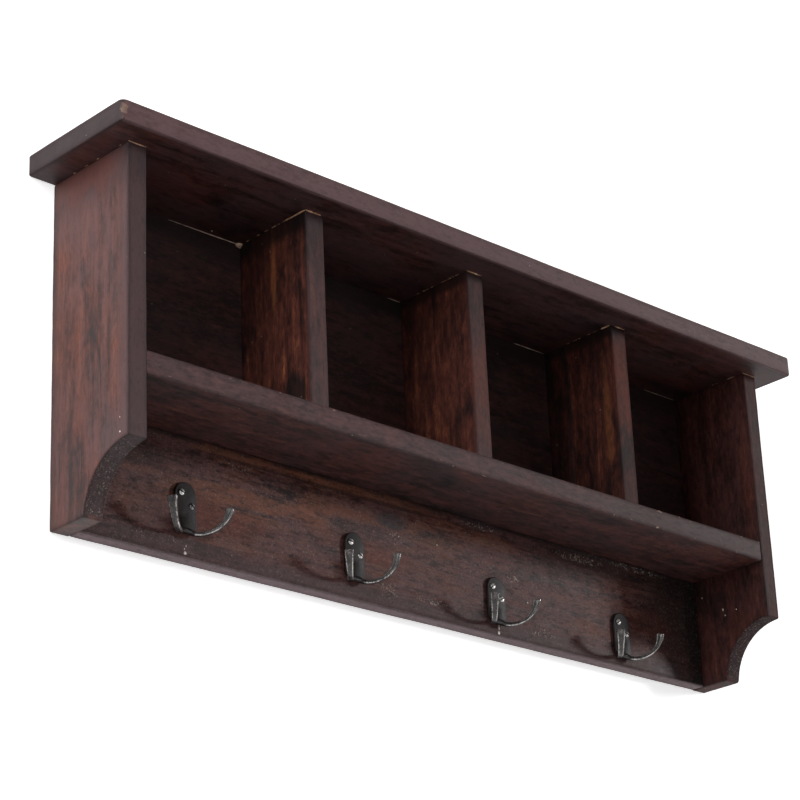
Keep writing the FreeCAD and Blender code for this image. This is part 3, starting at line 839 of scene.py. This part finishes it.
def blackIron(name, tips, plateFace):
    # cast iron under black paint: a pebbled skin, dull on the plate; the prongs are handled down to
    # dark metal, with pale ridge lines that are worn paint and a painted highlight, and worn bright tips
    paint = Finish(name)
    tones = ironTones
    skin = paint.noise(420, detail=4, twist=0.3, shift=2)
    cloud = paint.noise(90, detail=3, twist=0.5, shift=7)
    drawn = paint.noise((500, 500, 110), detail=3, twist=0.2, shift=5)
    depth = paint.node("ShaderNodeSeparateXYZ", None, {0: paint.place()}, out="Y")
    prong = depth.ease(*(plateFace - level for level in tones["prongRange"]))
    painted = paint.blend(cloud.ease(*tones["toneRange"]), *tones["painted"])
    handled = paint.blend(drawn.ease(*tones["toneRange"]), *tones["handled"])
    colour = paint.blend(prong, painted, handled)
    # pale lines on the marked ridges: partly worn paint, partly a painted highlight
    wearAndHighlight = paint.mark("ridge") * (drawn + cloud * 0.8).ease(*tones["wearAndHighlightRange"])
    colour = paint.blend(wearAndHighlight, colour, tones["ridge"])
    scuffed = skin.ease(*tones["scuffRange"]) * 0.5
    for tip in tips:
        ends = {0: paint.place(), 1: tip}
        near = paint.node("ShaderNodeVectorMath", {"operation": "DISTANCE"}, ends, out="Value")
        scuffed = scuffed.atLeast((near + skin.swing() * tones["tipRagged"]).ease(*tones["tipRange"]))
    colour = paint.blend(scuffed * 0.6, colour, tones["bare"])
    rough = 0.5 - prong * 0.22 - wearAndHighlight * 0.1 + skin.swing() * 0.25 + cloud.swing() * 0.2
    metal = prong * 0.5 + wearAndHighlight * 0.3
    values = {
        "Base Color": colour, "Roughness": rough, "Metallic": metal, "Specular IOR Level": tones["sheen"]}
    return paint.surface(values, skin + cloud * 0.6, tones["bumpDepth"], tones["bumpStrength"])


def markRidges(mesh, ridges, width):
    # a point attribute that falls from 1 on the nearest ridge to 0 at the far side of its width
    spots = np.empty(3 * len(mesh.vertices))
    mesh.vertices.foreach_get("co", spots)
    spots = spots.reshape(-1, 3)
    nearest = np.full(len(spots), 1.0)
    for lines in np.array_split(ridges, 12):
        gaps = np.linalg.norm(spots[:, None] - lines[None], axis=2).min(1)
        nearest = np.minimum(nearest, gaps)
    near, far = width
    layer = mesh.attributes.new("ridge", "FLOAT", "POINT")
    layer.data.foreach_set("value", np.clip((far - nearest) / (far - near), 0, 1).astype(np.float32))


def buildHook(number):
    # a round-topped plate with a crowned face and two prongs, grown together as one casting
    shape = hookShape
    node = "coat_hook_" + str(number)
    low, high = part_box(node)
    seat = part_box("hook_rail")[0].y
    middle = (low.x + high.x) / 2
    half, tall = shape["width"] / 2, shape["height"]
    foot = high.z - tall
    radius = shape["footRadius"]
    corners = [
        (middle - half, foot, radius), (middle + half, foot, radius),
        (middle + half, foot + tall, half), (middle - half, foot + tall, half)]
    outline = roundedOutline(corners, shape["gap"], shape["arcSteps"])
    points, _ = boardSurface(
        outline, shape["thickness"], shape["edge"], shape["band"], shape["crown"], shape["faceShares"])
    points[..., 2] *= -1
    plate = intoPlace(points, axisY, seat)
    root = np.array([middle, seat - shape["thickness"] - shape["crown"], foot])
    bends = shape["bends"][number - 1]
    made = [prongSurface(root, side, bend, shape) for side, bend in zip((-1, 1), bends)]
    prongs = [surface for surface, _ in made]
    ridges = np.concatenate([lines for _, lines in made])
    tips = [tuple(prong[-1].mean(0)) for prong in prongs]
    surfaces = [(surface, {}) for surface in (plate, *prongs, knuckleSurface(root, shape))]
    iron = blackIron("blackIron" + str(number), tips, root[1])
    hook = makePiece("doubleHook" + str(number), surfaces, iron, [node])
    grown = hook.modifiers.new("grown", "REMESH")
    grown.mode = "VOXEL"
    grown.voxel_size = shape["voxel"]
    grown.use_smooth_shade = True
    melted = hook.modifiers.new("melted", "SMOOTH")
    melted.factor = 0.5
    melted.iterations = shape["smoothing"]
    settle(hook)
    markRidges(hook.data, ridges, shape["ridgeWidth"])
    return middle, foot, root[1]


hookPlaces = [buildHook(number) for number in (1, 2, 3, 4)]


# Hook screws

hookScrew = {
    "shares": ((-0.21, 0.77), (0.26, 0.52)),    # places on a plate, in shares of its width and height
    "radius": 3.2 * mm, "height": 1.6 * mm, "dome": 0.42, "rim": 0.3, "chords": 25,
    "slotWidth": 1.4 * mm, "slotDepth": 1.1 * mm, "wallSlope": 0.004, "wallClear": 1.4, "shank": 1.6 * mm,
    "length": 13 * mm, "pitch": 1.4 * mm, "thread": 0.22 * mm, "taper": (0.3, 0.8), "sunk": 0.35 * mm,
    # how bright each hook's upper and lower screw still is
    "shines": ((0.7, 0.4), (1.1, 0.7), (0.8, 0.8), (0.8, 0.7)),
    # and how far each slot is turned from level
    "turns": ((20, 35), (12, 27), (-36, -29), (-36, 20)),
}


def headSurface(spec):
    # chords parallel to the slot, from edge to edge of the disc: a flattened dome above, a flat seat
    # below, and the chords between the slot's walls drop to its floor
    wall, slope = spec["slotWidth"] / 2 / spec["radius"], spec["wallSlope"]
    along = np.sin(np.linspace(-np.pi / 2, np.pi / 2, spec["chords"]))
    side = along[np.abs(along) > wall * spec["wallClear"]]
    side = np.sort(np.concatenate([side, [-wall - slope, -wall, wall, wall + slope, 0]]))
    chord = np.sqrt(np.clip(1 - side ** 2, 0, 1))[:, None]
    across = along * chord
    dome = np.clip(1 - across ** 2 - side[:, None] ** 2, 0, 1) ** spec["dome"]
    floor = 1 - spec["slotDepth"] / spec["height"]
    inSlot = (np.abs(side) <= wall + 1e-6)[:, None]
    dome = np.where(inSlot, np.minimum(dome, floor), dome)
    upper = np.stack([across, np.broadcast_to(side[:, None], across.shape), dome], -1)
    under = upper[:, ::-1] * np.array([1, 1, 0])
    points = np.concatenate([upper, under], 1) * np.array([spec["radius"], spec["radius"], spec["height"]])
    # the slot and the rim of the head are marked for dirt and painted shade
    dirtAndShade = np.maximum(inSlot, dome < spec["rim"])
    return points, np.concatenate([dirtAndShade, np.ones_like(dirtAndShade)], 1).astype(float)


def shankSurface(spec):
    # a tapering bar whose radius swells along a helix, one ridge for each pitch
    down = np.linspace(0, 1, 70)[:, None]
    turn = aroundRing(20)
    reach, power = spec["taper"]
    taper = np.clip((1 - down) / reach, 0, 1) ** power
    ridge = np.cos(fullTurn * down * spec["length"] / spec["pitch"] - turn)
    radius = (spec["shank"] + spec["thread"] * np.clip(ridge, 0, 1) ** 2) * taper
    depth = np.broadcast_to(-down * spec["length"], radius.shape)
    return np.stack([radius * np.cos(turn), radius * np.sin(turn), depth], -1)


def screwSteel():
    # turned steel: scratches, tarnish that each screw has more or less of, and dirt and painted shade in
    # the slot and round the rim
    paint = Finish("screwSteel")
    scratch = paint.noise((2500, 2500, 300), detail=2, twist=0.2, shift=3)
    tarnish = paint.noise(420, detail=4, twist=0.4, shift=8)
    clean = (paint.mark("shine") - tarnish + 0.4).ease(0.1, 0.7)
    colour = paint.blend(clean, (0.055, 0.048, 0.044), (0.62, 0.60, 0.58))
    # dark in the slot and round the rim: dirt and painted shade
    colour = paint.blend(paint.mark("slot") * 0.95, colour, (0.010, 0.008, 0.008))
    rough = 0.34 + scratch * 0.2 + tarnish.swing() * 0.3
    values = {"Base Color": colour, "Roughness": rough, "Metallic": 0.95}
    return paint.surface(values, scratch, depth=0.1 * mm, strength=0.4)


def buildScrews():
    # two screws to a hook, each turned about its own axis and set into the plate's face
    spec = hookScrew
    surfaces = []
    # inSlot holds the head's marks for dirt and painted shade in the slot and round the rim
    head, inSlot = headSurface(spec)
    shank = shankSurface(spec)
    for (middle, foot, face), shines, turns in zip(hookPlaces, spec["shines"], spec["turns"]):
        for (across, up), turn, shine in zip(spec["shares"], turns, shines):
            place = np.array([
                middle + across * hookShape["width"], face + spec["sunk"], foot + up * hookShape["height"]])
            angle = math.radians(turn)
            xWay = np.array([math.cos(angle), 0, -math.sin(angle)])
            zWay = np.array([math.sin(angle), 0, math.cos(angle)])
            axes = np.stack([xWay, zWay, np.array([0, -1.0, 0])])
            surfaces.append((head @ axes + place, {"slot": inSlot, "shine": shine}))
            surfaces.append((shank @ axes + place, {"slot": 0, "shine": shine}))
    return makePiece("hookScrews", surfaces, screwSteel(), ["hook_screws"], sharp=40)


buildScrews()


# Bare wood, glue and paint at the joints

beadSpec = {
    "step": 1.2 * mm, "around": 10, "leastRings": 8, "dotLength": (1.5 * mm, 5 * mm), "sunk": 0.35,
    "least": 0.35, "ripples": 9, "rippleSpan": 0.93, "runOut": 0.35, "backPale": 0.5,
    "seeds": {"dots": 40, "joint": 40, "jointStep": 20, "back": 300, "drop": 400},
}
dropSpec = {"rings": 11, "around": 16, "ripples": 3, "sag": 0.3, "least": 0.7, "rise": 0.5}


def beadSurface(start, end, radius, seed):
    # a thin round bead carried along a joint, its radius rippling and running out at both ends
    spec = beadSpec
    start, end = np.array(start), np.array(end)
    count = max(spec["leastRings"], int(np.linalg.norm(end - start) / spec["step"]))
    share = np.linspace(0, 1, count)
    rippled = spec["least"] + (1 - spec["least"]) * ripple(share * spec["rippleSpan"], seed, spec["ripples"])
    swell = radius * rippled * np.clip(np.sin(np.pi * share), 0, 1) ** spec["runOut"]
    way = unit(end - start)
    first = unit(np.cross(way, np.array([0.3, 0.5, 0.8])))
    second = np.cross(way, first)
    turn = aroundRing(spec["around"])
    ring = np.multiply.outer(np.cos(turn), first) + np.multiply.outer(np.sin(turn), second)
    spine = start + np.multiply.outer(share, end - start)
    return spine[:, None] + swell[:, None, None] * ring


def dropSurface(place, halfSizes, seed):
    # an ellipsoid from latitude and longitude, its radius rippling round and fuller below
    spec = dropSpec
    up = np.linspace(-np.pi / 2, np.pi / 2, spec["rings"])[:, None]
    share = np.linspace(0, 1, spec["around"], endpoint=False)
    turn = fullTurn * share
    rippled = spec["least"] + spec["rise"] * ripple(share, seed, spec["ripples"])
    flat = (1 - spec["sag"] * np.sin(up)) * rippled * np.cos(up)
    points = np.stack([flat * np.cos(turn), flat * np.sin(turn), np.sin(up) + 0 * turn], -1)
    return points * (np.array(halfSizes) * mm) + np.array(place) * mm


def rawWood():
    # bare wood and glue, blotched with stain; the pale drops and specks are paint
    paint = Finish("rawWood")
    grain = paint.noise(220, detail=4, twist=0.5, shift=4)
    fine = paint.noise(900, detail=2, shift=9)
    colour = paint.blend(grain.ease(0.35, 0.65), (0.34, 0.15, 0.07), (0.72, 0.47, 0.29))
    colour = paint.blend(fine.ease(0.55, 0.75) * 0.5, colour, (0.06, 0.025, 0.015))
    colour = paint.blend(paint.mark("pale") * (grain * 0.3 + 0.7), colour, (0.80, 0.74, 0.70))
    values = {"Base Color": colour, "Roughness": 0.6 + fine.swing() * 0.3}
    return paint.surface(values, grain + fine, depth=0.4 * mm, strength=0.5)


# beads along joints: node, which of its top edges, from and to as shares along that edge, radius in
# millimetres, and how many dots if it is broken
jointBeads = [
    ("left_side_panel", "front", 0.0, 1.0, 0.9, 0),
    ("left_side_panel", "left", 0.05, 0.75, 0.55, 7),
    ("left_divider", "front", 0.0, 0.9, 1.6, 0),
    ("left_divider", "left", 0.0, 0.35, 1.5, 0),
    ("left_divider", "left", 0.35, 1.0, 0.7, 10),
    ("middle_divider", "front", 0.0, 1.0, 1.0, 0),
    ("middle_divider", "left", 0.0, 1.0, 0.6, 14),
    ("right_divider_front_board", "front", 0.3, 1.0, 0.8, 0),
    ("right_divider_front_board", "left", 0.02, 0.22, 1.5, 0),
    ("right_divider_front_board", "left", 0.25, 1.0, 0.6, 7),
    ("right_side_panel", "front", 0.0, 1.0, 0.8, 0),
    ("right_side_panel", "left", 0.0, 0.4, 0.6, 5),
]
# beads along the back of the cubbies, under the top: from x to x and radius, in millimetres
backBeads = [(-302, -217, 0.7), (-28, -10.5, 0.6), (150, 195, 0.6), (352, 401, 0.5)]
# drops of paint and glue: place and half sizes in millimetres, how pale
drops = [
    ((-217, -11, underTop), (5.5, 4, 3.6), 0.25),
    ((-255.6, -17.7, underTop), (0.9, 0.9, 0.4), 1),
    ((-289, railFace, -265), (0.5, 0.3, 1.2), 0.6),
    ((-290.7, railFace, -268.2), (0.6, 0.3, 0.9), 0.8),
    ((-290.1, railFace, -271.7), (1.3, 0.6, 1.6), 1),
    ((97.9, railFace, -267), (1.0, 0.5, 3.0), 0.9),
    ((97.2, railFace, -272.9), (1.3, 0.6, 1.8), 1),
    ((140.1, railFace, -234.3), (1.0, 0.4, 0.9), 1),
    ((18.6, railFace, -199.6), (0.7, 0.3, 0.6), 0.9),
    ((railEnd, -24.8, -180.9), (0.3, 0.6, 0.7), 0.8),
    ((railEnd, -51, -200.3), (0.4, 0.9, 1.4), 1),
    ((railEnd, -53.5, -207.2), (0.4, 0.8, 0.9), 1),
    ((railEnd, -68.8, -204.6), (0.3, 0.6, 0.6), 0.9),
    ((-422, -97, -203), (0.3, 0.6, 0.7), 0.9),
    ((-422, -97, -216), (0.3, 0.7, 0.8), 1),
]


def buildBeads():
    # each top edge of a node is a line under the top board; a broken bead is a row of short ones
    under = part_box("top_board")[0].z
    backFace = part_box("upper_back_board")[0].y
    seeds = beadSpec["seeds"]
    dice = np.random.default_rng(seeds["dots"])
    surfaces = []
    for number, (node, edge, first, last, thick, dots) in enumerate(jointBeads):
        radius = thick * mm
        low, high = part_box(node)
        front = low.y + radius * beadSpec["sunk"]
        start = np.array([low.x, front, under])
        end = np.array([high.x, front, under]) if edge == "front" else np.array([low.x, high.y, under])
        spans = [(first, last)]
        if dots:
            length = np.linalg.norm(end - start)
            begin = np.sort(dice.uniform(first, last, dots))
            spans = zip(begin, begin + dice.uniform(*beadSpec["dotLength"], dots) / length)
        for place, (begin, finish) in enumerate(spans):
            ends = [start + (end - start) * share for share in (begin, min(finish, last))]
            seed = seeds["joint"] + seeds["jointStep"] * number + place
            surfaces.append((beadSurface(*ends, radius, seed), {"pale": 0}))
    for number, (left, right, thick) in enumerate(backBeads):
        ends = [(x * mm, backFace, under) for x in (left, right)]
        bead = beadSurface(*ends, thick * mm, seeds["back"] + number)
        surfaces.append((bead, {"pale": beadSpec["backPale"]}))
    for number, (place, halfSizes, pale) in enumerate(drops):
        surfaces.append((dropSurface(place, halfSizes, seeds["drop"] + number), {"pale": pale}))
    return makePiece("jointBeads", surfaces, rawWood())


buildBeads()


# Carried-over pieces

def beech():
    # pale turned beech: fine flecks along the grain
    paint = Finish("beech")
    fleck = paint.noise((900, 900, 120), detail=3, twist=0.2, shift=5)
    band = paint.noise((120, 120, 30), detail=2, twist=0.4, shift=6)
    colour = paint.blend(band, (0.42, 0.25, 0.13), (0.60, 0.40, 0.23))
    colour = paint.blend(fleck.ease(0.58, 0.7) * 0.6, colour, (0.25, 0.12, 0.06))
    values = {"Base Color": colour, "Roughness": 0.55 + fleck.swing() * 0.3}
    return paint.surface(values, fleck, depth=0.3 * mm, strength=0.5)


def hangerSteel(name, clean, dull):
    # zinc-plated steel: soft spangle, a brushed grain and darker stains
    paint = Finish(name)
    spangle = paint.noise(180, detail=3, twist=0.8, shift=5)
    brushed = paint.noise((3000, 3000, 60), detail=2, shift=6)
    stained = paint.noise(60, detail=4, twist=0.6, shift=7)
    colour = paint.blend(spangle, clean, dull)
    colour = paint.blend(stained.ease(0.55, 0.75) * 0.6, colour, (0.12, 0.10, 0.09))
    rough = 0.34 + brushed.swing() * 0.3 + stained.swing() * 0.3
    values = {"Base Color": colour, "Roughness": rough, "Metallic": 0.9}
    return paint.surface(values, brushed, depth=0.1 * mm, strength=0.4)


carried = [
    (beech(), [
        "side_top_dowels", "divider_top_dowels", "divider_foot_dowels", "shelf_end_dowels",
        "rail_end_dowels"]),
    (hangerSteel("hangerSteel", (0.50, 0.50, 0.49), (0.36, 0.36, 0.36)), [
        "left_keyhole_plate", "right_keyhole_plate"]),
    (hangerSteel("hangerScrewSteel", (0.56, 0.53, 0.44), (0.42, 0.39, 0.32)), ["keyhole_plate_screws"]),
    (hangerSteel("pinSteel", (0.42, 0.41, 0.40), (0.28, 0.27, 0.26)), ["back_board_pins"]),
]
for finish, nodes in carried:
    for node in nodes:
        slots = frame["nodes"][node].data.materials
        if not slots:
            slots.append(None)
        for place in range(len(slots)):
            slots[place] = finish
print("carried-over pieces finished")


# Stage, light and camera

studio = {
    "reach": 4.0, "wallGap": 0.4 * mm, "floorDrop": 2.2, "openingInset": 4 * mm,
    "wallGlow": 0.60, "wallShade": 0.95, "wallPlain": 0.82, "worldLevel": 0.12,
}


def paleBackdrop():
    # white to the camera and in reflections, less the object's shadow; unseen from behind
    paint = Finish("paleBackdrop")
    path = paint.node("ShaderNodeLightPath", out="Is Camera Ray")
    seen = path.atLeast(path.beside("Is Glossy Ray")).atLeast(path.beside("Is Transmission Ray"))
    plain, shaded = (
        paint.node("ShaderNodeBsdfDiffuse", None, {"Color": (studio[tone], studio[tone], studio[tone], 1)})
        for tone in ("wallPlain", "wallShade"))
    glow = paint.node("ShaderNodeEmission", None, {"Strength": studio["wallGlow"]})
    bright = paint.node("ShaderNodeAddShader", None, {0: shaded, 1: glow})
    mixed = paint.node("ShaderNodeMixShader", None, {0: seen, 1: plain, 2: bright})
    behind = paint.node("ShaderNodeNewGeometry", out="Backfacing")
    clear = paint.node("ShaderNodeBsdfTransparent")
    whole = paint.node("ShaderNodeMixShader", None, {0: behind, 1: mixed, 2: clear})
    paint.node("ShaderNodeOutputMaterial", None, {"Surface": whole})
    return paint.material


def buildStage():
    # a wall with an opening behind the rack, so that its back stays lit, and a floor well below
    inset, reach, gap, drop = studio["openingInset"], studio["reach"], studio["wallGap"], -studio["floorDrop"]
    sideLow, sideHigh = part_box("left_side_panel")[0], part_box("right_side_panel")[1]
    topLow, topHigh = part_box("top_board")
    half, wide = sideHigh.x - inset, topHigh.x - inset
    bottom, shoulder, crest = sideLow.z + inset, topLow.z + inset, topHigh.z - inset
    opening = [
        (-half, bottom), (half, bottom), (half, shoulder), (wide, shoulder),
        (wide, crest), (-wide, crest), (-wide, shoulder), (-half, shoulder)]
    border = [
        (-reach, -reach), (reach, -reach), (reach, shoulder), (reach, shoulder),
        (reach, reach), (-reach, reach), (-reach, shoulder), (-reach, shoulder)]
    spots = [(x, gap, z) for x, z in opening + border]
    count = len(opening)
    pairs = [(place, (place + 1) % count) for place in range(count)]
    wallMesh = bpy.data.meshes.new("wall")
    wallMesh.from_pydata(spots, [], [(here, after, count + after, count + here) for here, after in pairs])
    floorSpots = [(-reach, -reach, drop), (reach, -reach, drop), (reach, reach, drop), (-reach, reach, drop)]
    floorMesh = bpy.data.meshes.new("floor")
    floorMesh.from_pydata(floorSpots, [], [(0, 1, 2, 3)])
    backdrop = paleBackdrop()
    for mesh in (wallMesh, floorMesh):
        mesh.materials.append(backdrop)
        thing = bpy.data.objects.new(mesh.name, mesh)
        bpy.context.scene.collection.objects.link(thing)
    wallMesh.flip_normals()
    print("made wall and floor")


buildStage()

lamps = {
    "rightKey": {
        "at": (4.1, -2.55, 0.6), "to": (0.1, 0, -0.2), "size": (0.66, 0.66), "power": 112, "spread": 180},
    "leftFill": {
        "at": (-1.9, -0.55, 0.35), "to": (-0.3, 0, -0.1), "size": (1.2, 1.4), "power": 31, "spread": 180},
    "frontFill": {
        "at": (-0.5, -1.2, -0.1), "to": (-0.4, 0, -0.15), "size": (0.6, 0.6), "power": 0.4, "spread": 80},
}
for name, spec in lamps.items():
    data = bpy.data.lights.new(name, "AREA")
    data.shape = "RECTANGLE"
    data.size, data.size_y = spec["size"]
    data.energy = spec["power"]
    data.spread = math.radians(spec["spread"])
    lamp = bpy.data.objects.new(name, data)
    lamp.location = spec["at"]
    lamp.rotation_euler = (Vector(spec["to"]) - Vector(spec["at"])).to_track_quat("-Z", "Y").to_euler()
    bpy.context.scene.collection.objects.link(lamp)

# the world is white to the camera and dim to everything else
world = bpy.data.worlds.new("studioWorld")
world.use_nodes = True
bpy.context.scene.world = world
sky = Finish("studioWorld", world.node_tree)
cameraRay = sky.node("ShaderNodeLightPath", out="Is Camera Ray")
dim = sky.node("ShaderNodeBackground", None, {"Color": (1, 1, 1, 1), "Strength": studio["worldLevel"]})
white = sky.node("ShaderNodeBackground", None, {"Color": (1, 1, 1, 1), "Strength": 1.0})
both = sky.node("ShaderNodeMixShader", None, {0: cameraRay, 1: dim, 2: white})
sky.node("ShaderNodeOutputWorld", None, {"Surface": both})

view = {
    "at": (-1.58843, -1.62774, -0.99194), "ahead": (0.64388, 0.66220, 0.38329), "roll": -2.52, "lens": 113.07,
    "sensor": 36, "clipStart": 0.01,
}
cameraData = bpy.data.cameras.new("camera")
cameraData.lens = view["lens"]
cameraData.sensor_width = view["sensor"]
cameraData.clip_start = view["clipStart"]
camera = bpy.data.objects.new("camera", cameraData)
bpy.context.scene.collection.objects.link(camera)
camera.location = view["at"]
camera.rotation_mode = "QUATERNION"
roll = Quaternion((0, 0, 1), math.radians(view["roll"]))
camera.rotation_quaternion = Vector(view["ahead"]).to_track_quat("-Z", "Y") @ roll
bpy.context.scene.camera = camera
bpy.context.scene.view_settings.view_transform = "Standard"
print("stage, light and camera set")
